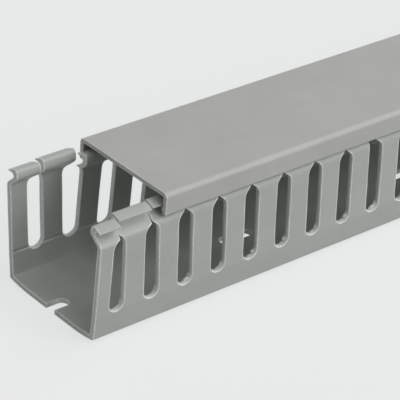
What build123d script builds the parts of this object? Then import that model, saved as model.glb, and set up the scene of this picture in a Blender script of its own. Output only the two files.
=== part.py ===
from build123d import *
from math import cos, radians, sin, tan
import os

os.makedirs("parts", exist_ok=True)

# X runs along the duct, Y across it from the near wall to the far one, Z up from the
# face that is screwed down. The origin is on that face, midway between two fixing slots.
# Sizes are in mm.
duct_length = 500.0
base_width = 40.0
closed_height = 41.0
lid_set_back = 24.0

# Trough section: a base that is flat along its middle and bows up to its edges, wall
# roots that lean out, and fingers above the bend.
base_thickness = 1.6
flat_width = 20.0
edge_rise = 1.0
corner_round = 0.5
wall_thickness = 1.7
root_lean = 6.1
bend_height = 8.7
foot_depth = 0.9

# Snap-off line, a groove along the inside just above the bend.
groove_height = 10.0
groove_width = 0.5
groove_depth = 0.3

# Lean of the fingers, in degrees outwards. The lid pulls them in, and the free ones
# at the open end stand wider.
closed_lean = -3.3
near_free_leans = (2.3, -1.8)
far_free_leans = (4.9, 4.5)

# Hook along the top of each finger. It steps inwards, turns round a recess that is open
# to the outside, and ends in a lip with a sloping top. Its curves have few facets,
# because it repeats on every finger.
neck_angle = 50.0
recess_radius = 1.5
recess_inset = 1.9
recess_drop = 0.55
bead_radius = 3.3
bead_inset = 1.95
crest_angle = 80.0
lip_inset = 0.85
lip_edge = 0.35
hook_facets = 5

# Slots between the fingers, punched straight through each wall. Shoulders, which start a
# set drop below the closed height, narrow a slot to the neck between two hooks.
slot_pitch = 12.5
slot_width = 5.4
slot_bottom = bend_height
slot_side_drop = 11.2
shoulder_height = 3.0
shoulder_sweep = 63.0
shoulder_facets = 3
foot_facets = 8
neck_gap = 0.9
neck_shift = 0.3
first_finger_width = 4.7
far_slot_shift = 1.2
squared_slot_index = 8

# Fixing slots along the middle of the base. The open end is sawn through the first.
fixing_slot_width = 4.0
fixing_slot_length = 12.0
fixing_slot_pitch = 70.0
first_fixing_slot = 0.2
slots_before_origin = 4

# Lid section, with a clip along the inside of each flange.
lid_thickness = 1.4
flange_thickness = 1.5
flange_height = 6.95
lid_edge_radius = 1.6
lid_inner_radius = 0.5
clip_reach = 0.65
clip_flat = 0.45
clip_foot = 0.3
running_gap = 0.05

free_end = fixing_slot_pitch / 2 - slots_before_origin * fixing_slot_pitch - first_fixing_slot
half_width = base_width / 2
lid_underside = closed_height - lid_thickness
flange_bottom = closed_height - flange_height
shoulder_foot = closed_height - slot_side_drop
root_height = edge_rise + corner_round
bend_point = (-half_width - (bend_height - root_height) * tan(radians(root_lean)), bend_height)
tilt = radians(-closed_lean)
bead_top = lid_underside - running_gap
bead_rise = (bead_top - bead_radius - bend_height + bead_inset * sin(tilt)) / cos(tilt)
lip_rise = bead_rise - recess_drop + recess_radius
lip_underside = bend_height - recess_inset * sin(tilt) + lip_rise * cos(tilt)


def arc_points(middle, radii, start, sweep, facets):
    # Points on an arc of a circle or an ellipse, from one angle through another.
    turns = [radians(start + sweep * step / facets) for step in range(facets + 1)]
    return [(middle[0] + radii[0] * cos(turn), middle[1] + radii[1] * sin(turn)) for turn in turns]


def finger_section(lean):
    # The finger stands on the bend, with its outer face on the local Y axis.
    slope = tan(radians(neck_angle))
    recess_middle = (recess_inset, bead_rise - recess_drop)
    recess_radii = (recess_radius, recess_radius)
    recess = arc_points(recess_middle, recess_radii, -neck_angle, 90 + neck_angle, hook_facets)
    bead_radii = (bead_radius, bead_radius)
    bead = arc_points((bead_inset, bead_rise), bead_radii, crest_angle, -crest_angle - neck_angle, hook_facets)
    outer_bend = (0, recess[0][1] - recess[0][0] / slope)
    inner_bend = (wall_thickness, bead[-1][1] - (bead[-1][0] - wall_thickness) / slope)
    lip_tip = [(lip_inset, lip_rise), (lip_inset, lip_rise + lip_edge)]
    groove_middle = groove_height - bend_height
    groove = [
        (wall_thickness, groove_middle + groove_width / 2),
        (wall_thickness - groove_depth, groove_middle),
        (wall_thickness, groove_middle - groove_width / 2),
    ]
    foot = (wall_thickness, -foot_depth)
    outline = Polyline((0, 0), outer_bend, *recess, *lip_tip, *bead, inner_bend, *groove, foot, close=True)
    return Pos(*bend_point) * Rot(0, 0, lean) * make_face(outline)


def root_section():
    foot = Vector(-half_width, root_height)
    top = Vector(*bend_point)
    thickness = Vector(wall_thickness, 0)
    return make_face(Polyline(foot, top, top + thickness, foot + thickness, close=True))


def base_section():
    flat_end = flat_width / 2
    middle = Line((0, 0), (flat_end, 0))
    bow = TangentArc((flat_end, 0), (half_width, edge_rise), tangent=(1, 0))
    edge = Line((half_width, edge_rise), (half_width, edge_rise + base_thickness))
    inner_bow = Pos(0, base_thickness) * bow
    inner_middle = Pos(0, base_thickness) * middle
    centre = Line((0, base_thickness), (0, 0))
    half = make_face([middle, bow, edge, inner_bow, inner_middle, centre])
    floor = half + mirror(half, Plane.YZ)
    lower_corners = [corner for corner in floor.vertices() if abs(corner.Y - edge_rise) < corner_round / 2]
    return fillet(lower_corners, corner_round)


def along_duct(section, start, end):
    placed = Plane((free_end + start, 0, 0), x_dir=(0, 1, 0), z_dir=(1, 0, 0)) * section
    return extrude(placed, end - start)


def wall(free_leans, slot_shift):
    # Each free finger is a stretch of its own, from the middle of one slot to the next.
    first_slot = first_finger_width + slot_width / 2 + slot_shift
    starts = [0, first_slot, first_slot + slot_pitch]
    ends = [*starts[1:], duct_length]
    leans = [*free_leans, closed_lean]
    fingers = [
        along_duct(finger_section(lean), start, end)
        for lean, start, end in zip(leans, starts, ends)
    ]
    return [along_duct(root_section(), 0, duct_length), *fingers]


def shoulder(neck_side):
    # From a slot's side in to the neck's side, both measured from the slot's middle.
    sweep = radians(shoulder_sweep)
    radii = ((slot_width / 2 - neck_side) / (1 - cos(sweep)), shoulder_height / sin(sweep))
    middle = (slot_width / 2 - radii[0], shoulder_foot)
    return arc_points(middle, radii, 0, shoulder_sweep, shoulder_facets)


def slot_outline():
    # From the round foot up one side, over the neck and down the other side.
    side = slot_width / 2
    foot = arc_points((0, slot_bottom + side), (side, side), 180, 180, foot_facets)
    right_neck = neck_shift + neck_gap / 2
    left_neck = neck_shift - neck_gap / 2
    right = shoulder(right_neck)
    left = [(-x, z) for x, z in reversed(shoulder(-left_neck))]
    top = [(right_neck, closed_height), (left_neck, closed_height)]
    return make_face(Polyline(*foot, *right, *top, *left, close=True))


def slot_places(slot_shift):
    first_slot = first_finger_width + slot_width / 2 + slot_shift
    count = int((duct_length - first_slot) / slot_pitch) + 1
    return [free_end + first_slot + slot_pitch * index for index in range(count)]


def slot_cutters(side, slot_shift):
    # The cutter starts in the middle of the channel and runs out past the wall.
    outline = Plane(origin=(0, 0, 0), x_dir=(1, 0, 0), z_dir=(0, -1, 0)) * slot_outline()
    cutter = extrude(outline, -side * base_width)
    return [Pos(place, 0, 0) * cutter for place in slot_places(slot_shift)]


def squaring_cutter():
    # One slot of the near wall has no shoulder on the side of the open end.
    place = slot_places(0)[0] + squared_slot_index * slot_pitch - slot_width / 4
    height = closed_height - shoulder_foot
    box = Box(slot_width / 2, base_width, height)
    return Pos(place, -half_width, shoulder_foot + height / 2) * box


def fixing_slot_cutters():
    count = int((duct_length - first_fixing_slot) / fixing_slot_pitch) + 1
    outline = SlotOverall(fixing_slot_length, fixing_slot_width)
    cutter = extrude(outline, 2 * base_thickness, both=True)
    first_slot = free_end + first_fixing_slot
    return [Pos(first_slot + fixing_slot_pitch * index, 0, 0) * cutter for index in range(count)]


def slotted_trough():
    near_wall = wall(near_free_leans, 0)
    far_wall = [mirror(piece, Plane.XZ) for piece in wall(far_free_leans, far_slot_shift)]
    base = along_duct(base_section(), 0, duct_length)
    near_slots = [*slot_cutters(-1, 0), squaring_cutter()]
    far_slots = slot_cutters(1, far_slot_shift)
    return base.fuse(*near_wall, *far_wall).cut(*near_slots, *far_slots, *fixing_slot_cutters())


def lid_section():
    outside = Pos(0, closed_height - flange_height / 2) * Rectangle(base_width, flange_height)
    outside = fillet(outside.vertices().sort_by(Axis.Y)[-2:], lid_edge_radius)
    inner_width = base_width - 2 * flange_thickness
    inner_height = lid_underside - flange_bottom
    inside = Pos(0, lid_underside - inner_height / 2) * Rectangle(inner_width, inner_height)
    inside = fillet(inside.vertices().sort_by(Axis.Y)[-2:], lid_inner_radius)
    flange_face = -inner_width / 2
    clip_top = lip_underside - running_gap
    clip = make_face(
        Polyline(
            (flange_face, clip_top),
            (flange_face + clip_reach, clip_top),
            (flange_face + clip_reach, clip_top - clip_flat),
            (flange_face, flange_bottom + clip_foot),
            close=True,
        )
    )
    return outside - inside + clip + mirror(clip, Plane.YZ)


def clip_on_lid():
    return along_duct(lid_section(), lid_set_back, lid_set_back + duct_length)


export_step(slotted_trough(), "parts/slotted_trough.step")
export_step(clip_on_lid(), "parts/clip_on_lid.step")
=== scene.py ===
import bpy
import bmesh
import numpy as np
from mathutils import Matrix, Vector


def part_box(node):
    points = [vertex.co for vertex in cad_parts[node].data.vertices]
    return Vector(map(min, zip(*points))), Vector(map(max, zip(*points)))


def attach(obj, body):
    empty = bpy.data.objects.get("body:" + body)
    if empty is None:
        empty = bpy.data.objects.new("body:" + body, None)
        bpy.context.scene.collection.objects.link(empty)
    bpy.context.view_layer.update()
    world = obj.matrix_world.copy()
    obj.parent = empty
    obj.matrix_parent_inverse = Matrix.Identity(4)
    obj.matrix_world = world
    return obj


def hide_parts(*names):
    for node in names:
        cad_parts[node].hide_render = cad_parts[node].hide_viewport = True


# Slotted wire duct: the trough and its clip-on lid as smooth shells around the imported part.
# Shapes are worked out in mm and become metres when their mesh is made.
# X runs along the duct, Y across it to the far wall, Z up.
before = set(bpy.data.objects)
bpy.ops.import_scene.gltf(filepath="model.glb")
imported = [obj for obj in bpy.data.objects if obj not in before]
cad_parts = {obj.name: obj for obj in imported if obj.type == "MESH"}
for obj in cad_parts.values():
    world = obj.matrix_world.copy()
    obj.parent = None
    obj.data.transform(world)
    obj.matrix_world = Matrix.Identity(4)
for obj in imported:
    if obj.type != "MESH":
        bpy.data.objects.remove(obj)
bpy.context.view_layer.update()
mm = 0.001
print("frame loaded")

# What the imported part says
troughLow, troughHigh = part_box("slotted_trough")
lidLow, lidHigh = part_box("clip_on_lid")
ductStart, ductEnd = troughLow.x / mm, troughHigh.x / mm
lidStart, lidEnd = lidLow.x / mm, lidHigh.x / mm
halfWidth = lidHigh.y / mm
closedHeight = lidHigh.z / mm


# Mesh helpers

def newShell():
    return {"points": [], "paleLitEdges": [], "faces": [], "count": 0}


def addGrid(shell, points, paleLitEdge=0.0):
    # Quads over one or many grids: points is (..., rows, columns, 3), and the last argument is how
    # far each point lies in the pale edge, from 0 to 1: partly the stress whitening that a punch
    # or a saw leaves, and partly painted highlight and painted shade on the cut.
    points = np.asarray(points, float)
    rows, columns = points.shape[-3:-1]
    grids = points.reshape(-1, rows, columns, 3)
    first = shell["count"] + np.arange(len(grids))[:, None, None] * rows * columns
    corner = first + np.arange(rows - 1)[:, None] * columns + np.arange(columns - 1)
    quads = np.stack([corner, corner + 1, corner + columns + 1, corner + columns], -1)
    shell["points"].append(grids.reshape(-1, 3))
    shell["paleLitEdges"].append(np.broadcast_to(paleLitEdge, points.shape[:-1]).reshape(-1))
    shell["faces"] += quads.reshape(-1, 4).tolist()
    shell["count"] += grids.shape[0] * rows * columns


def addStitch(shell, rowA, rowB):
    # Triangles between two rows that run the same way along X with different steps: each
    # next point, in order of X, makes a triangle with the last point of either row. Of two
    # points at the same X, rowA's goes first.
    tie = 1e-6
    points = np.concatenate([rowA, rowB])
    order = np.argsort(np.concatenate([rowA[1:, 0] - tie, rowB[1:, 0]]), kind="stable")
    fromA = order < len(rowA) - 1
    lastA = np.cumsum(fromA) - fromA
    lastB = np.cumsum(~fromA) - ~fromA + len(rowA)
    newest = np.where(fromA, lastA + 1, lastB + 1)
    shell["points"].append(points)
    shell["paleLitEdges"].append(np.zeros(len(points)))
    shell["faces"] += (np.stack([lastA, lastB, newest], -1) + shell["count"]).tolist()
    shell["count"] += len(points)


def makePiece(name, shell, body, joined=0.01, shortest=0.0001):
    # Points closer than `joined` mm are one point, so the grids close into one skin, and
    # edges under `shortest` mm are dissolved.
    mesh = bpy.data.meshes.new(name)
    mesh.from_pydata(np.concatenate(shell["points"]) * mm, [], shell["faces"])
    # the share of pale edge per point, stress whitening with painted highlight and painted shade,
    # goes to the material as an attribute
    paleLitEdge = mesh.attributes.new("paleLitEdge", "FLOAT", "POINT")
    paleLitEdge.data.foreach_set("value", np.concatenate(shell["paleLitEdges"]).astype(np.float32))
    work = bmesh.new()
    work.from_mesh(mesh)
    bmesh.ops.remove_doubles(work, verts=work.verts, dist=joined * mm)
    bmesh.ops.dissolve_degenerate(work, edges=work.edges, dist=shortest * mm)
    bmesh.ops.recalc_face_normals(work, faces=work.faces)
    openEdges = sum(not edge.is_manifold for edge in work.edges)
    work.to_mesh(mesh)
    work.free()
    mesh.shade_smooth()
    piece = bpy.data.objects.new(name, mesh)
    bpy.context.scene.collection.objects.link(piece)
    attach(piece, body)
    print(name, len(mesh.polygons), "faces,", openEdges, "open edges")
    return piece


def along(x, section):
    # Puts points of a section (..., 2), Y and Z, at x along the duct.
    x = np.broadcast_to(x, section.shape[:-1])
    return np.concatenate([x[..., None], section], -1)


def outwards(path, side):
    # Normals of a path (n, 2): each step turned a quarter, and the two steps at a point
    # averaged. side is 1 for the left of the path and -1 for its right.
    steps = np.diff(path, axis=0)
    steps /= np.linalg.norm(steps, axis=1, keepdims=True)
    mean = np.concatenate([steps[:1], steps]) + np.concatenate([steps, steps[-1:]])
    mean /= np.linalg.norm(mean, axis=1, keepdims=True)
    return side * np.stack([-mean[:, 1], mean[:, 0]], -1)


def arc(middle, radius, start, sweep, steps):
    # Points on a circle, or an ellipse where radius is a pair, from angle start through
    # sweep, in degrees.
    turn = np.radians(start + sweep * np.linspace(0, 1, steps + 1))
    return np.array(middle) + radius * np.stack([np.cos(turn), np.sin(turn)], -1)


def roundedCorners(path, radii, steps=3):
    # Each inner corner of a path becomes an arc: it starts radius / tan(half the corner)
    # before the corner, and turns about a middle radius / sin(half) along the bisector.
    path = np.array(path, float)
    here, radii = path[1:-1], np.array(radii, float)[:, None]
    back, ahead = path[:-2] - here, path[2:] - here
    back /= np.linalg.norm(back, axis=1, keepdims=True)
    ahead /= np.linalg.norm(ahead, axis=1, keepdims=True)
    half = np.arccos((back * ahead).sum(1, keepdims=True)) / 2
    middle = here + (back + ahead) / (2 * np.cos(half)) * radii / np.sin(half)
    first = here + back * radii / np.tan(half) - middle
    last = here + ahead * radii / np.tan(half) - middle
    turn = np.pi - 2 * half
    part = np.linspace(0, 1, steps + 1)[:, None, None]
    swung = (np.sin((1 - part) * turn) * first + np.sin(part * turn) * last) / np.sin(turn)
    rounded = (middle + swung).transpose(1, 0, 2).reshape(-1, 2)
    return np.concatenate([path[:1], rounded, path[-1:]])


# Trough: sizes in mm, angles in degrees, leans outwards
trough = {
    # base, wall roots and snap-off line
    "wall": 1.7, "floor": 1.6, "flatHalf": 10.0, "edgeRise": 1.0, "bowStops": 8,
    "cornerRun": 0.8, "cornerRound": 0.5, "innerRound": 0.3,
    "rootLean": 6.1, "rootStart": 1.5, "rootTop": 3.6, "bendHeight": 8.7,
    "grooveHeight": 10.0, "grooveWidth": 0.5, "grooveDepth": 0.3,
    # fingers, whose lean sets in over leanEase, and their necks
    "closedLean": -3.3, "nearFreeLeans": (2.3, -1.8), "farFreeLeans": (4.9, 4.5),
    "leanEase": 4.0, "neckAngle": 50.0, "neckSoftness": (0.5, 0.15), "neckTail": 12.0,
    # hooks; tipSteps and topSteps round the lip off at its lower and its upper corner
    "recessRadius": 1.5, "recessRoof": 0.95, "recessInset": 1.9, "recessDrop": 0.55,
    "beadRadius": 3.3, "beadInset": 1.95, "beadReach": 5.45,
    "crest": (4.9, 2.3), "beadRounds": (1.8, 1.1), "lipInset": 0.85, "lipEdge": 0.4,
    "tipSteps": ((0.12, 0), (0.03, 0.03), (0, 0.1)), "topSteps": (0.1, 0.02, 0.1),
    "firstHookPressed": 0.87,
    # slots: footTurns and sideTurns are the angles round the foot below and above the
    # groove, and uprightStops are parts of the way from there to the shoulder
    "slotPitch": 12.5, "slotWidth": 5.4, "firstFinger": 4.7, "farShift": 1.2,
    "footTurns": (0, 15, 30, 45), "sideTurns": (79, 90), "uprightStops": (0.3, 0.65, 1),
    "shoulderFoot": 29.8, "shoulderHeight": 3.0, "shoulderSweep": 63.0,
    "shoulderEnd": (0.8, 0.6), "neckGap": 0.9, "neckShift": 0.3, "squareSlot": 8,
    # fixing slots
    "fixingWidth": 4.0, "fixingLength": 12.0, "fixingPitch": 70.0, "firstFixing": 0.2,
    "fixingFacets": 12,
    # cut edges, and their ripple: its size, its two waves per mm and the share of the second
    "edgeRound": 0.12, "rimWidth": 0.4, "cutRim": 0.55,
    "ripple": 0.05, "rippleWaves": (0.75, 2.3), "rippleShare": 0.6,
    # burrs: how far they reach on each wall, the part of a slot that they leave open, and
    # their shares at the stations of a slot's left and right side and across the wall
    "nearBurr": 1.9, "farBurr": 0.3, "burrLimit": 0.15, "burrSeed": 100,
    "burrLeft": (0, 0.3, 0.15), "burrRight": (0, 0.7, 1, 1, 0.9, 0.8, 0.6, 0.3),
    "burrAcross": (0, 0, 0, 0, 0.05, 0.45, 1, 0.95, 0.7, 0),
    # the closed lid over the hooks
    "lidThickness": 1.4, "lidGap": 0.05,
}

wall = trough["wall"]
bendHeight = trough["bendHeight"]
slotHalf = trough["slotWidth"] / 2
shoulderFoot = trough["shoulderFoot"] - bendHeight
rimWidth = trough["rimWidth"]
rootSlope = np.tan(np.radians(trough["rootLean"]))
neckSlope = np.tan(np.radians(trough["neckAngle"]))
bendY = -halfWidth - (bendHeight - trough["rootStart"]) * rootSlope

# The hook's middle stands so high that its bead just clears the closed lid.
tilt = np.radians(-trough["closedLean"])
beadTop = closedHeight - trough["lidThickness"] - trough["lidGap"]
beadRise = beadTop - trough["beadRadius"] - bendHeight + trough["beadInset"] * np.sin(tilt)
beadRise /= np.cos(tilt)
recessMiddle = (trough["recessInset"], beadRise - trough["recessDrop"])
recessRadii = np.array([trough["recessRadius"], trough["recessRoof"]])
recessSide = arc(recessMiddle, recessRadii[0], -trough["neckAngle"], trough["neckAngle"], 4)
recess = np.concatenate([recessSide, arc(recessMiddle, recessRadii, 0, 90, 6)[1:]])

# The bead goes on along the neck's slope to its reach, turns up to the crest, and turns
# back over the recess to the lip.
lipTop = (trough["lipInset"], recess[-1, 1] + trough["lipEdge"])
beadMiddle = (trough["beadInset"], beadRise)
beadStart = arc(beadMiddle, trough["beadRadius"], -trough["neckAngle"], 0, 1)[0]
beadRun = trough["beadReach"] - beadStart[0]
beadSide = (trough["beadReach"], beadStart[1] + beadRun / neckSlope)
crest = (trough["crest"][0], beadRise + trough["crest"][1])
bead = roundedCorners([beadStart, beadSide, crest, lipTop], trough["beadRounds"], 4)[:-1]
outerBend = recess[0, 1] - recess[0, 0] / neckSlope
innerBend = bead[0, 1] - (bead[0, 0] - wall) / neckSlope

# The rounded edge between a face and a cut, from the rim to the cut: how far each point
# is from the cut, and how deep under the face. It is a quarter circle in two steps. The
# base's first rows, which round the edge of its hole, are holeRows.
edgeTurns = np.radians([0, 45, 90])
holeRows = len(edgeTurns)
edgeAway = np.append(rimWidth, trough["edgeRound"] * (1 - np.sin(edgeTurns)))
edgeDepth = np.append(0, trough["edgeRound"] * (1 - np.cos(edgeTurns)))

# Between the two rounded edges a cut has two more columns, at these parts of its width.
cutParts = np.array([trough["cutRim"], wall - trough["cutRim"]]) / wall

# How pale a cut is across its columns, partly stress whitening and partly painted light: the near
# wall's punched ones carry a painted highlight at the outer edge that fades inwards into painted
# shade, and the far wall's and the sawn ends are pale all over, painted light for the light that
# falls on these cuts.
paleLitEdgeShares = np.array([0, 0.9, 1, 1])
nearPaleEdgeHighlightAndShade = np.array([0, 0.9, 1, 1, 0.8, 0.4, 0.3, 0.3, 0.3, 0])
farPaleLitEdge = np.concatenate([paleLitEdgeShares, [0.9, 0.9], paleLitEdgeShares[::-1]])
sawnPaleLitEdge = np.concatenate([paleLitEdgeShares, [0.4, 0.4], paleLitEdgeShares[::-1]])

# What the punch left in the slots' feet is pale too, partly stress whitening and partly painted
# light on faces that lie in shade, and the lower face of the groove's V, which faces up, carries a
# painted highlight: the rows and columns of a slot's side, and how pale they are.
paleLitFootRows, paleLitFootColumns, paleLitFoot = slice(0, 8), slice(4, 9), 0.85
grooveHighlightRows, grooveHighlightColumn, grooveHighlight = slice(4, 6), -1, 0.7


def neckRun(height, start, softness):
    # A hyperbola that leaves the upright at start and runs up the neck's slope: half the
    # slope times (d + root of d squared plus softness squared), d above start. Its tail
    # is cut off far under the start.
    d = height - start
    run = neckSlope * (d + np.hypot(d, softness)) / 2
    return np.where(d > -trough["neckTail"], run, 0)


def outerInset(height):
    return neckRun(height, outerBend, trough["neckSoftness"][0])


def innerInset(height):
    # The wall's thickness and the neck, less a V for the groove.
    reach = np.abs(height - trough["grooveHeight"] + bendHeight) / (trough["grooveWidth"] / 2)
    rise = neckRun(height, innerBend, trough["neckSoftness"][1])
    return wall + rise - trough["grooveDepth"] * np.clip(1 - reach, 0, 1)


def slotStations(neckSide):
    # One side of a slot from the middle of its foot to the tip of the hook's lip. x is the
    # distance from the slot's middle, b the height over its foot, n points into the finger.
    # A rounded shoulder brings the side in to neckSide.
    groove = trough["grooveHeight"] - bendHeight
    groove = groove + np.array([-0.5, 0, 0.5]) * trough["grooveWidth"]
    grooveTurns = np.degrees(np.arccos((slotHalf - groove) / (slotHalf + rimWidth)))
    foot = np.radians(np.concatenate([trough["footTurns"], grooveTurns, trough["sideTurns"]]))
    upright = slotHalf + (shoulderFoot - slotHalf) * np.array(trough["uprightStops"])
    sweep = np.radians(trough["shoulderSweep"])
    radii = [(slotHalf - neckSide) / (1 - np.cos(sweep)), trough["shoulderHeight"] / np.sin(sweep)]
    turn = sweep * np.linspace(0.25, 1, 4)
    normal = np.stack([np.cos(turn) / radii[0], np.sin(turn) / radii[1]])
    normal /= np.linalg.norm(normal, axis=0)
    normal[:, -1] = trough["shoulderEnd"]
    neckFoot = shoulderFoot + trough["shoulderHeight"]
    neck = [(neckFoot + rimWidth + hook[0, 1]) / 2 for hook in (recess, bead)]
    shoulder = slotHalf - radii[0] * (1 - np.cos(turn))
    b = [slotHalf * (1 - np.cos(foot)), upright, shoulderFoot + radii[1] * np.sin(turn)]
    b = np.concatenate(b)
    straight = np.ones(len(upright))
    tail = np.ones(1 + len(hookOuter))
    x = [slotHalf * np.sin(foot), slotHalf * straight, shoulder, neckSide * tail]
    return {
        "x": np.concatenate(x),
        "b": [np.append(b, neck[0]), np.append(b, neck[1])],
        "nx": np.concatenate([np.sin(foot), straight, normal[0], tail]),
        "nb": np.concatenate([-np.cos(foot), 0 * straight, normal[1], 0 * tail]),
    }


def hookPaths():
    # The hook's outer and inner sides from the neck to the lip's tip, point for point.
    tip = np.array([trough["lipInset"], recess[-1, 1]])
    top = tip + [0, trough["lipEdge"]]
    slope = (bead[-1] - top) / np.linalg.norm(bead[-1] - top)
    back, under, down = trough["topSteps"]
    inner = np.concatenate([bead, [top + back * slope, top + [under, 0], top - [0, down]]])
    return np.concatenate([recess, tip + trough["tipSteps"]]), inner


hookOuter, hookInner = hookPaths()


def facePoints(stations, face, away):
    # Points at distances `away` from the slot's side on the outer face, 0, or the inner, 1:
    # x from the slot's middle, inset a and height b. Rows are stations.
    heights = stations["b"][face]
    inset = (outerInset, innerInset)[face]
    hook = (hookOuter, hookInner)[face]
    x = stations["x"][:, None] + stations["nx"][:, None] * away
    b = heights[:, None] + stations["nb"][:len(heights), None] * away
    a = np.concatenate([inset(b), np.repeat(hook[:, :1], len(away), 1)])
    b = np.concatenate([b, np.repeat(hook[:, 1:], len(away), 1)])
    return x, a, b


def stripSection(stations):
    # Across a finger's side from the rim on the outer face, round the cut, to the rim on
    # the inner face: x, a and b, each stations by ten columns.
    sides = []
    for face, side in ((0, 1), (1, -1)):
        x, a, b = facePoints(stations, face, edgeAway)
        normal = outwards(np.stack([a[:, -1], b[:, -1]], -1), side)
        sides.append((x, a - normal[:, :1] * edgeDepth, b - normal[:, 1:] * edgeDepth))
    joined = []
    for outer, inner in zip(*sides):
        cut = outer[:, -1:] * (1 - cutParts) + inner[:, -1:] * cutParts
        joined.append(np.concatenate([outer, cut, inner[:, ::-1]], 1))
    return joined


def stand(a, b, lean):
    # Y and Z of inset a and height b on the near wall. Under the bend the wall leans as its
    # root does, and above it the finger is turned about the bend.
    turn = np.radians(lean)
    easing = np.clip(b / trough["leanEase"], 0, 1)
    y = np.where(b > 0, a * np.cos(turn) - b * np.sin(turn), a - b * rootSlope)
    z = np.where(b > 0, b * np.cos(turn) + a * np.sin(turn) * easing, b)
    return np.stack(np.broadcast_arrays(bendY + y, bendHeight + z), -1)


def burrShape(seed, count, sides, stations):
    # What the punch left hanging inside a slot's foot: for each station a random reach into
    # the slot, greatest between its foot and its side, on the inner edge of the cut.
    random = np.random.default_rng(seed + trough["burrSeed"])
    reach = random.uniform(0, 1, (count, sides, stations, 1))
    spread = np.zeros((sides, stations, 1))
    for side, shares in enumerate((trough["burrLeft"], trough["burrRight"])):
        spread[side, :len(shares), 0] = shares
    return reach * spread * np.array(trough["burrAcross"])


def slotSides(centres, leans, seed, square, burr):
    # Both sides of every slot as (slots, 2, stations, columns, 3). The punch leaves a slow
    # ripple along each side: two sines of the height, with their own phases. The slot named
    # by square has no first shoulder, and that side runs straight up.
    halfGap, shift = trough["neckGap"] / 2, trough["neckShift"]
    pair = slotStations(halfGap - shift), slotStations(halfGap + shift)
    x, a, b = np.stack([stripSection(stations) for stations in pair], 1)
    height = b[:, :, len(edgeAway)]
    inner = 1 - np.concatenate([edgeAway, [0, 0], edgeAway[::-1]]) / rimWidth
    phases = np.random.default_rng(seed).uniform(0, 2 * np.pi, (2, len(centres), 2, 1))
    waves = [np.sin(height * wave + phase) for wave, phase in zip(trough["rippleWaves"], phases)]
    ripple = waves[0] + trough["rippleShare"] * waves[1]
    sideways = np.stack([stations["nx"] for stations in pair])
    ripple *= trough["ripple"] * sideways * (height < outerBend)
    x = x + ripple[..., None] * inner
    x = np.maximum(x - burr * burrShape(seed, *x.shape[:3]), x * trough["burrLimit"])
    if square is not None:
        x[square, 0, height[0] >= shoulderFoot] = slotHalf + rimWidth * (1 - inner)
    x = centres[:, None, None, None] + np.array([-1, 1])[:, None, None] * x
    lean = np.stack([leans[:-1], leans[1:]], 1)[:, :, None, None]
    # the hook of the first finger is pressed down towards its neck
    b = np.repeat(b[None], len(centres), 0)
    b[0, 0] -= (1 - trough["firstHookPressed"]) * (b[0, 0] - innerBend).clip(0)
    return along(x, stand(a, b, lean))


def endStrip(outer, inner, x, step, corner=0.0):
    # Carries the outer and inner paths of a section (rows, 2) round a sawn end at x: ten
    # columns from the rim outside, over the cut, to the rim inside. Where a hole's edge
    # meets the end, the deeper of the two roundings holds.
    depth = np.maximum(edgeDepth, np.reshape(corner, (-1, 1)))[..., None]
    sides = [path[:, None] - depth * outwards(path, side)[:, None]
             for path, side in ((outer, 1), (inner, -1))]
    part = cutParts[:, None]
    cut = sides[0][:, -1:] * (1 - part) + sides[1][:, -1:] * part
    section = np.concatenate([sides[0], cut, sides[1][:, ::-1]], 1)
    return along(x + step * np.concatenate([edgeAway, [0, 0], edgeAway[::-1]]), section)


def closeRow(shell, row, paleLitEdge):
    # Fills a strip's last row, folding its first half of columns onto its second.
    half = row.shape[-2] // 2
    folded = np.stack([row[..., :half, :], row[..., ::-1, :][..., :half, :]], -3)
    addGrid(shell, folded, paleLitEdge[:half])


def baseRows():
    # The near half of the base from the hole in its middle to the root of the wall, the
    # underside and the floor point for point, and how deep the hole's edge is rounded. Both
    # are level to flatHalf, then bow up on a circle to the corner.
    hole = trough["fixingWidth"] / 2 + edgeAway[::-1]
    flatHalf, top = trough["flatHalf"], trough["rootTop"]
    bowRadius = ((halfWidth - flatHalf) ** 2 / trough["edgeRise"] + trough["edgeRise"]) / 2
    faces = (
        (0, -halfWidth, trough["cornerRound"]),
        (trough["floor"], wall - halfWidth, trough["innerRound"]),
    )
    paths = []
    for height, foot, radius in faces:
        bow = np.linspace(-flatHalf, foot + trough["cornerRun"], trough["bowStops"])
        y = np.concatenate([-hole, bow, [foot]])
        z = height + bowRadius - np.sqrt(bowRadius ** 2 - np.clip(-y - flatHalf, 0, None) ** 2)
        y[-1] -= max(z[-1] - trough["rootStart"], 0) * rootSlope
        level = np.stack([y, z], -1)
        up = [level[-2], level[-1], (foot - (top - trough["rootStart"]) * rootSlope, top)]
        paths.append(np.concatenate([level[:-1], roundedCorners(up, [radius])[1:]]))
    depth = np.append(edgeDepth[:0:-1], np.zeros(len(paths[0]) - holeRows))
    return *paths, depth


def fixingHoles():
    return np.arange(ductStart + trough["firstFixing"], ductEnd, trough["fixingPitch"])


def baseColumns():
    # Where the base's faces change along X: the rims of both ends and the holes' straights.
    straight = (trough["fixingLength"] - trough["fixingWidth"]) / 2
    stops = (fixingHoles()[:, None] + [-straight, straight]).reshape(-1)[1:]
    return np.concatenate([[ductStart + rimWidth], stops, [ductEnd - rimWidth]])


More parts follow.
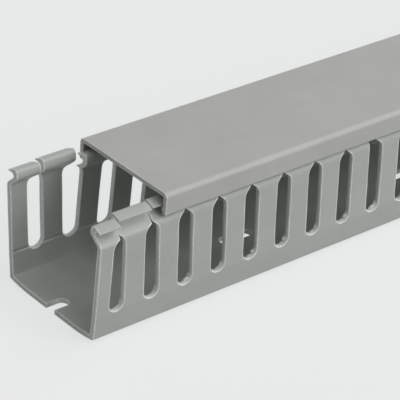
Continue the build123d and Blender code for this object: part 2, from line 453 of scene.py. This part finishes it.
def buildWall(shell, side, freeLeans, shift, seed, burr, cutRim, square=None):
    # One wall with its half of the base. The near wall is side -1, the far its mirror image.
    flip = np.array([1, -side, 1])
    first = ductStart + trough["firstFinger"] + slotHalf + shift
    centres = np.arange(first, ductEnd, trough["slotPitch"])
    leans = np.full(len(centres) + 1, trough["closedLean"])
    leans[:len(freeLeans)] = freeLeans
    sides = slotSides(centres, leans, seed, square, burr)
    outerBase, innerBase, holeDepth = baseRows()
    low = len(outerBase)
    ends = []
    for strip, x, step in ((sides[0, 0], ductStart, 1), (sides[-1, 1], ductEnd, -1)):
        outer = np.concatenate([outerBase, strip[:, 0, 1:]])
        inner = np.concatenate([innerBase, strip[:, -1, 1:]])
        corner = np.append(holeDepth, np.zeros(len(strip)))
        ends.append(endStrip(outer, inner, x, step, corner))
    ends = np.array(ends)
    # how pale each cut is: stress whitening with painted highlight, and on the near wall painted
    # shade fading inwards
    sidePaleLitEdge = np.tile(cutRim, (sides.shape[2], 1))
    # slot feet painted pale: stress whitening, with painted light over their shade
    sidePaleLitEdge[paleLitFootRows, paleLitFootColumns] = np.maximum(sidePaleLitEdge[paleLitFootRows, paleLitFootColumns], paleLitFoot)
    # painted highlight on the groove's up-facing lower face
    sidePaleLitEdge[grooveHighlightRows, grooveHighlightColumn] = grooveHighlight
    addGrid(shell, sides * flip, sidePaleLitEdge)
    closeRow(shell, sides[:, :, -1] * flip, cutRim)
    closeRow(shell, ends[:, -1] * flip, sawnPaleLitEdge)
    # the sawn hole opens the near end's strip in the middle; the far end has no hole there
    closeRow(shell, ends[0, 0] * flip, sawnPaleLitEdge)
    addGrid(shell, ends[0] * flip, sawnPaleLitEdge)
    addGrid(shell, ends[1, holeRows:] * flip, sawnPaleLitEdge)
    left = np.concatenate([ends[:1, low:], sides[:, 1]])
    right = np.concatenate([sides[:, 0], ends[1:, low:]])
    columns = baseColumns()
    for column, base in ((0, outerBase), (-1, innerBase)):
        addGrid(shell, np.stack([left[:, :, column], right[:, :, column]], -2) * flip)
        feet = sides[:, 0, 0, column]
        upper = np.concatenate([ends[:1, low, column], feet, ends[1:, low, column]])
        sheet = along(columns, np.repeat(base[holeRows:, None], len(columns), 1))
        addStitch(shell, upper * flip, sheet[-1] * flip)
        addGrid(shell, sheet * flip)
    addGrid(shell, np.stack([left[:, -1], right[:, -1]], -2)[:, [0, -1]] * flip)


def buildFixingHoles(shell):
    # The strip of base that the holes lie in. Each hole is an outline of two half circles
    # carried through the base, and the first is sawn through. Between two holes the base
    # runs from one round end to the next, and after the last to the far end.
    straight = (trough["fixingLength"] - trough["fixingWidth"]) / 2
    turn = np.radians(np.linspace(-90, 90, trough["fixingFacets"] + 1))
    holes = fixingHoles()
    radii = trough["fixingWidth"] / 2 + edgeAway
    bulge = straight + radii[0] * np.cos(turn)
    stops = np.concatenate([holes[1:, None] - bulge, np.full((1, len(turn)), ductEnd - rimWidth)])
    x = np.stack([holes[:, None] + bulge, stops], -1)
    y = np.broadcast_to((radii[0] * np.sin(turn))[:, None], x.shape)
    for height in (0, trough["floor"]):
        addGrid(shell, np.stack([x, y, np.full(x.shape, height)], -1))
    across = -radii[0] * np.sin(turn)
    faces = [np.stack([across, np.full(len(turn), height)], -1) for height in (0, trough["floor"])]
    addGrid(shell, endStrip(*faces, ductEnd, -1), sawnPaleLitEdge)
    radii = np.concatenate([radii, radii[::-1]])
    z = np.concatenate([edgeDepth, trough["floor"] - edgeDepth[::-1]])
    # the holes' cut edges are pale: stress whitening with painted highlight
    paleLitEdge = np.concatenate([paleLitEdgeShares, paleLitEdgeShares[::-1]])
    halves = []
    for side in (1, -1):
        x = side * (straight + radii * np.cos(turn)[:, None])
        y = side * radii * np.sin(turn)[:, None]
        halves.append(np.stack([x, y, np.broadcast_to(z, x.shape)], -1))
    stop = halves[0][[0, -1]] * [0, 1, 1] + [rimWidth - trough["firstFixing"], 0, 0]
    sawn = np.concatenate([stop[:1], halves[0], stop[1:]])
    whole = np.concatenate([*halves, halves[0][:1]])
    addGrid(shell, sawn + [holes[0], 0, 0], paleLitEdge)
    addGrid(shell, whole + np.multiply.outer(holes[1:], [1, 0, 0])[:, None, None], paleLitEdge)


troughShell = newShell()
buildWall(troughShell, -1, trough["nearFreeLeans"], 0, seed=11, burr=trough["nearBurr"],
          cutRim=nearPaleEdgeHighlightAndShade, square=trough["squareSlot"])
buildWall(troughShell, 1, trough["farFreeLeans"], trough["farShift"], seed=12,
          burr=trough["farBurr"], cutRim=farPaleLitEdge)
buildFixingHoles(troughShell)
troughPiece = makePiece("slotted_trough_shell", troughShell, "trough")
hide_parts("slotted_trough")


# Lid: a flat top, a flange down each side and a clip inside each flange. The flange's
# outer face is divided from sideStart over its bottom to sideEnd under the top's rounding.
lid = {
    "thickness": 1.4, "flange": 1.5, "height": 6.95, "edgeRadius": 1.6, "innerRadius": 0.5,
    "clipReach": 0.65, "clipFlat": 0.45, "clipFoot": 0.3, "clipGap": 0.05,
    "bottomRound": (0.3, 0.15), "clipRound": 0.08, "cornerSteps": 8,
    "sideStart": 0.5, "sideEnd": 0.3, "sideStops": 17, "stub": 1.0,
}


def lidPaths():
    # The near half of the lid, outside and inside, from the flange's bottom to the middle.
    # A stub is a short straight run that a rounded corner starts from.
    bottom, under = closedHeight - lid["height"], closedHeight - lid["thickness"]
    face = lid["flange"] - halfWidth
    middle, reach = face - lid["flange"] / 2, face + lid["clipReach"]
    lipUnderside = bendHeight - trough["recessInset"] * np.sin(tilt)
    clipTop = lipUnderside + recess[-1, 1] * np.cos(tilt) - lid["clipGap"]
    stubUnder = (face, under - lid["stub"])
    clip = [
        (middle, bottom), (face, bottom), (face, bottom + lid["clipFoot"]),
        (reach, clipTop - lid["clipFlat"]), (reach, clipTop), (face, clipTop), stubUnder,
    ]
    clip = roundedCorners(clip, [lid["bottomRound"][1]] + [lid["clipRound"]] * 4)
    ceiling = [stubUnder, (face, under), (0, under)]
    ceiling = roundedCorners(ceiling, [lid["innerRadius"]], lid["cornerSteps"])
    foot = [(middle, bottom), (-halfWidth, bottom), (-halfWidth, bottom + lid["stub"])]
    foot = roundedCorners(foot, [lid["bottomRound"][0]])
    sideTop = closedHeight - lid["edgeRadius"] - lid["sideEnd"]
    rise = np.linspace(bottom + lid["sideStart"], sideTop, lid["sideStops"])
    side = np.stack([np.full(len(rise), -halfWidth), rise], -1)
    top = [(-halfWidth, sideTop), (-halfWidth, closedHeight), (0, closedHeight)]
    top = roundedCorners(top, [lid["edgeRadius"]], lid["cornerSteps"])
    return np.concatenate([foot[:-1], side, top[1:]]), np.concatenate([clip, ceiling[1:]])


def buildLid(shell):
    outer, inner = lidPaths()
    ends = np.array([endStrip(outer, inner, lidStart, 1), endStrip(outer, inner, lidEnd, -1)])
    for flip in (np.array([1, 1, 1]), np.array([1, -1, 1])):
        addGrid(shell, ends * flip, sawnPaleLitEdge)
        for column in (0, -1):
            addGrid(shell, np.stack([ends[0, :, column], ends[1, :, column]], 1) * flip)


lidShell = newShell()
buildLid(lidShell)
lidPiece = makePiece("clip_on_lid_shell", lidShell, "lid")
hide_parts("clip_on_lid")


# Materials

def linear(hexColour):
    # sRGB to linear: above 0.04045, ((c + 0.055) / 1.055) to the power 2.4.
    c = np.array([int(hexColour[i:i + 2], 16) for i in (1, 3, 5)]) / 255
    c = np.where(c > 0.04045, ((c + 0.055) / 1.055) ** 2.4, c / 12.92)
    return (*c.tolist(), 1.0)


def addNode(tree, kind, settings=None, **inputs):
    # Adds a node, sets its properties, and fills its inputs with values or links. An input
    # goes by its name, or as i and its number.
    node = tree.nodes.new(kind)
    for name, value in (settings or {}).items():
        setattr(node, name, value)
    for name, value in inputs.items():
        numbered = name[0] == "i" and name[1:].isdigit()
        socket = node.inputs[int(name[1:]) if numbered else name.replace("_", " ")]
        if isinstance(value, bpy.types.NodeSocket):
            tree.links.new(value, socket)
        else:
            socket.default_value = value
    return node


def newMaterial(name):
    material = bpy.data.materials.new(name)
    material.use_nodes = True
    material.node_tree.nodes.clear()
    return material, material.node_tree


# Rigid PVC, pattern sizes in metres: die lines 0.7 mm apart and about 40 mm long (given as
# scales), clouds, grain, and dust specks 0.25 mm across, one in a 9 mm cell.
pvc = {
    # the share of the lines in the tone, and where it goes from the darker colour to the paler
    "lineScale": (25, 1400, 1400), "cloudSize": 0.012, "grainSize": 0.0006,
    "lineShare": 0.45, "toneRange": (0.3, 0.7),
    "speckCell": 0.009, "speckRange": (0.014, 0.03), "speckAmount": 0.55, "speckColour": "#5E605B",
    # the grain breaks up the pale rims, whitening and painted highlight alike, down to rimLeast of
    # them
    "rimGrain": (0.3, 0.65), "rimLeast": 0.55,
    # the gloss varies by this much under and over the given roughness
    "ior": 1.53, "glossRange": (-0.05, 0.07),
    "reliefShare": 0.35, "reliefStrength": 0.25, "reliefDepth": 0.00004,
}


def mapRange(tree, value, low, high, first, last):
    # Carries low..high of a value over to first..last, and stops at both.
    limits = {"i1": low, "i2": high, "i3": first, "i4": last}
    return addNode(tree, "ShaderNodeMapRange", Value=value, **limits).outputs[0]


def noise(tree, place, scale, **inputs):
    return addNode(tree, "ShaderNodeTexNoise", Vector=place, Scale=scale, **inputs).outputs["Fac"]


def blendValues(tree, share, first, second):
    mix = addNode(tree, "ShaderNodeMix", {"data_type": "FLOAT"}, i0=share, i2=first, i3=second)
    return mix.outputs[0]


def blendColours(tree, share, first, second):
    mix = addNode(tree, "ShaderNodeMix", {"data_type": "RGBA"}, i0=share, i6=first, i7=second)
    return mix.outputs[2]


def combine(tree, operation, first, second):
    settings = {"operation": operation}
    return addNode(tree, "ShaderNodeMath", settings, i0=first, i1=second).outputs[0]


def extrudedPvc(name, colour, paler, darker, paleLitEdgeColour, roughness):
    # Rigid PVC drawn through a die: satin, faintly streaked along its length, with a soft
    # cloudiness, a few dust specks, and paler edges where it was cut: stress whitening with
    # painted highlight and painted shade mixed into it.
    material, tree = newMaterial(name)
    place = addNode(tree, "ShaderNodeTexCoord").outputs["Object"]
    lines = addNode(tree, "ShaderNodeMapping", Vector=place, Scale=pvc["lineScale"]).outputs[0]
    streak = noise(tree, lines, 1.0, Detail=3.0)
    cloud = noise(tree, place, 1 / pvc["cloudSize"], Detail=4.0, Roughness=0.6)
    grain = noise(tree, place, 1 / pvc["grainSize"], Detail=2.0)
    tone = blendValues(tree, pvc["lineShare"], cloud, streak)
    ramp = addNode(tree, "ShaderNodeValToRGB", Fac=tone)
    stops = ramp.color_ramp.elements
    stops[0].position, stops[1].position = pvc["toneRange"]
    stops[0].color, stops[1].color = linear(darker), linear(paler)
    stops.new(sum(pvc["toneRange"]) / 2).color = linear(colour)
    cells = addNode(tree, "ShaderNodeTexVoronoi", Vector=place, Scale=1 / pvc["speckCell"])
    speck = mapRange(tree, cells.outputs["Distance"], *pvc["speckRange"], pvc["speckAmount"], 0.0)
    dusty = blendColours(tree, speck, ramp.outputs[0], linear(pvc["speckColour"]))
    # the pale edges: stress whitening with painted highlight, and painted shade where the near
    # wall's cuts fade inwards
    paleLitEdge = addNode(tree, "ShaderNodeAttribute", {"attribute_name": "paleLitEdge"}).outputs["Fac"]
    broken = mapRange(tree, grain, *pvc["rimGrain"], pvc["rimLeast"], 1.0)
    edged = blendColours(tree, combine(tree, "MULTIPLY", paleLitEdge, broken), dusty, linear(paleLitEdgeColour))
    smoother, rougher = pvc["glossRange"]
    gloss = mapRange(tree, streak, *pvc["toneRange"], roughness + smoother, roughness + rougher)
    relief = blendValues(tree, pvc["reliefShare"], streak, grain)
    bump = addNode(tree, "ShaderNodeBump", Height=relief, Strength=pvc["reliefStrength"],
                   Distance=pvc["reliefDepth"]).outputs[0]
    shader = addNode(tree, "ShaderNodeBsdfPrincipled", Base_Color=edged, Roughness=gloss,
                     IOR=pvc["ior"], Normal=bump)
    addNode(tree, "ShaderNodeOutputMaterial", Surface=shader.outputs[0])
    return material


# Each colour, a paler and a darker one, the colour of the pale cut edges (stress whitening and
# painted highlight), and the roughness
troughPvc = extrudedPvc("extrudedPvcTrough", "#A0A5A0", "#A5AAA4", "#9AA09A", "#E8EAE4", 0.46)
lidPvc = extrudedPvc("extrudedPvcLid", "#A6A7A3", "#ABACA7", "#A1A29E", "#DADCD6", 0.5)
troughPiece.data.materials.append(troughPvc)
lidPiece.data.materials.append(lidPvc)
print("materials made")


# Stage: pale floor, soft light, and the camera solved from the photograph
stage = {
    "floorSize": 8.0, "floorColour": "#F2F3F3", "floorBounce": "#D4D5D6", "floorGlow": 0.76,
    "worldStrength": 0.04, "worldSeen": 0.8, "target": (-0.18, 0, 0),
    "lamps": (
        # place and size in metres, power in watts; all are pointed at the target
        ((0.6, -1.4, 0.9), 1.2, 19.5),
        ((1.0, -0.1, 1.5), 1.2, 12.0),
        ((0.0, -0.8, 1.6), 1.2, 6.0),
        ((-1.2, 0.0, 1.5), 1.2, 5.5),
        ((0.0, 1.7, 0.6), 1.2, 6.5),
    ),
}


def seenRays(tree):
    # 1 for the rays that show the background: the camera's, and those that gloss or glass
    # sends on
    path = addNode(tree, "ShaderNodeLightPath").outputs
    seen = combine(tree, "MAXIMUM", path["Is Camera Ray"], path["Is Glossy Ray"])
    return combine(tree, "MAXIMUM", seen, path["Is Transmission Ray"])


def buildFloor():
    half = stage["floorSize"] / 2
    u, v = np.meshgrid([-half, half], [-half, half])
    points = np.stack([u, v, np.zeros_like(u)], -1).reshape(-1, 3)
    mesh = bpy.data.meshes.new("floor")
    mesh.from_pydata(points, [], [(0, 1, 3, 2)])
    floor = bpy.data.objects.new("floor", mesh)
    bpy.context.scene.collection.objects.link(floor)
    material, tree = newMaterial("paleSweep")
    colour = linear(stage["floorColour"])
    matte = addNode(tree, "ShaderNodeBsdfDiffuse", Color=linear(stage["floorBounce"])).outputs[0]
    glow = addNode(tree, "ShaderNodeEmission", Color=colour, Strength=1.0).outputs[0]
    share = combine(tree, "MULTIPLY", seenRays(tree), stage["floorGlow"])
    mixed = addNode(tree, "ShaderNodeMixShader", i0=share, i1=matte, i2=glow).outputs[0]
    addNode(tree, "ShaderNodeOutputMaterial", Surface=mixed)
    mesh.materials.append(material)


def buildWorld():
    world = bpy.data.worlds.new("studioWhite")
    bpy.context.scene.world = world
    world.use_nodes = True
    tree = world.node_tree
    tree.nodes.clear()
    strength = mapRange(tree, seenRays(tree), 0.0, 1.0, stage["worldStrength"], stage["worldSeen"])
    light = addNode(tree, "ShaderNodeBackground", Color=(1, 1, 1, 1), Strength=strength).outputs[0]
    addNode(tree, "ShaderNodeOutputWorld", Surface=light)


def buildLamps():
    for index, (place, size, power) in enumerate(stage["lamps"]):
        lamp = bpy.data.lights.new(f"softbox{index + 1}", "AREA")
        lamp.shape, lamp.size, lamp.energy = "DISK", size, power
        holder = bpy.data.objects.new(lamp.name, lamp)
        bpy.context.scene.collection.objects.link(holder)
        holder.matrix_world = facing(place, np.array(stage["target"]) - place)


def facing(place, forward, right=None):
    # A matrix that looks along forward. Where right isn't given, it is level.
    forward = np.array(forward) / np.linalg.norm(forward)
    right = np.cross(forward, [0, 0, 1]) if right is None else np.array(right)
    right = right - forward * (right @ forward)
    right /= np.linalg.norm(right)
    up = np.cross(right, forward)
    turned = np.eye(4)
    turned[:3] = np.stack([right, up, -forward, place], -1)
    return Matrix(turned.tolist())


# Camera: place and clipping in metres, focal length and frame in pixels, sensor in mm
camera = {
    "place": (-0.562423, -0.410540, 0.342284), "forward": (0.58003555, 0.64041133, -0.5034204),
    "right": (0.76541272, -0.63995866, 0.06779584), "focal": 2149.59, "frame": 400,
    "sensor": 36.0, "clip": (0.05, 30),
}


def buildCamera():
    lens = bpy.data.cameras.new("photoCamera")
    lens.sensor_width = camera["sensor"]
    lens.lens = camera["focal"] * camera["sensor"] / camera["frame"]
    lens.clip_start, lens.clip_end = camera["clip"]
    holder = bpy.data.objects.new("photoCamera", lens)
    bpy.context.scene.collection.objects.link(holder)
    holder.matrix_world = facing(camera["place"], camera["forward"], camera["right"])
    bpy.context.scene.camera = holder


buildFloor()
buildWorld()
buildLamps()
buildCamera()
bpy.context.scene.view_settings.view_transform = "Standard"
print("stage set")
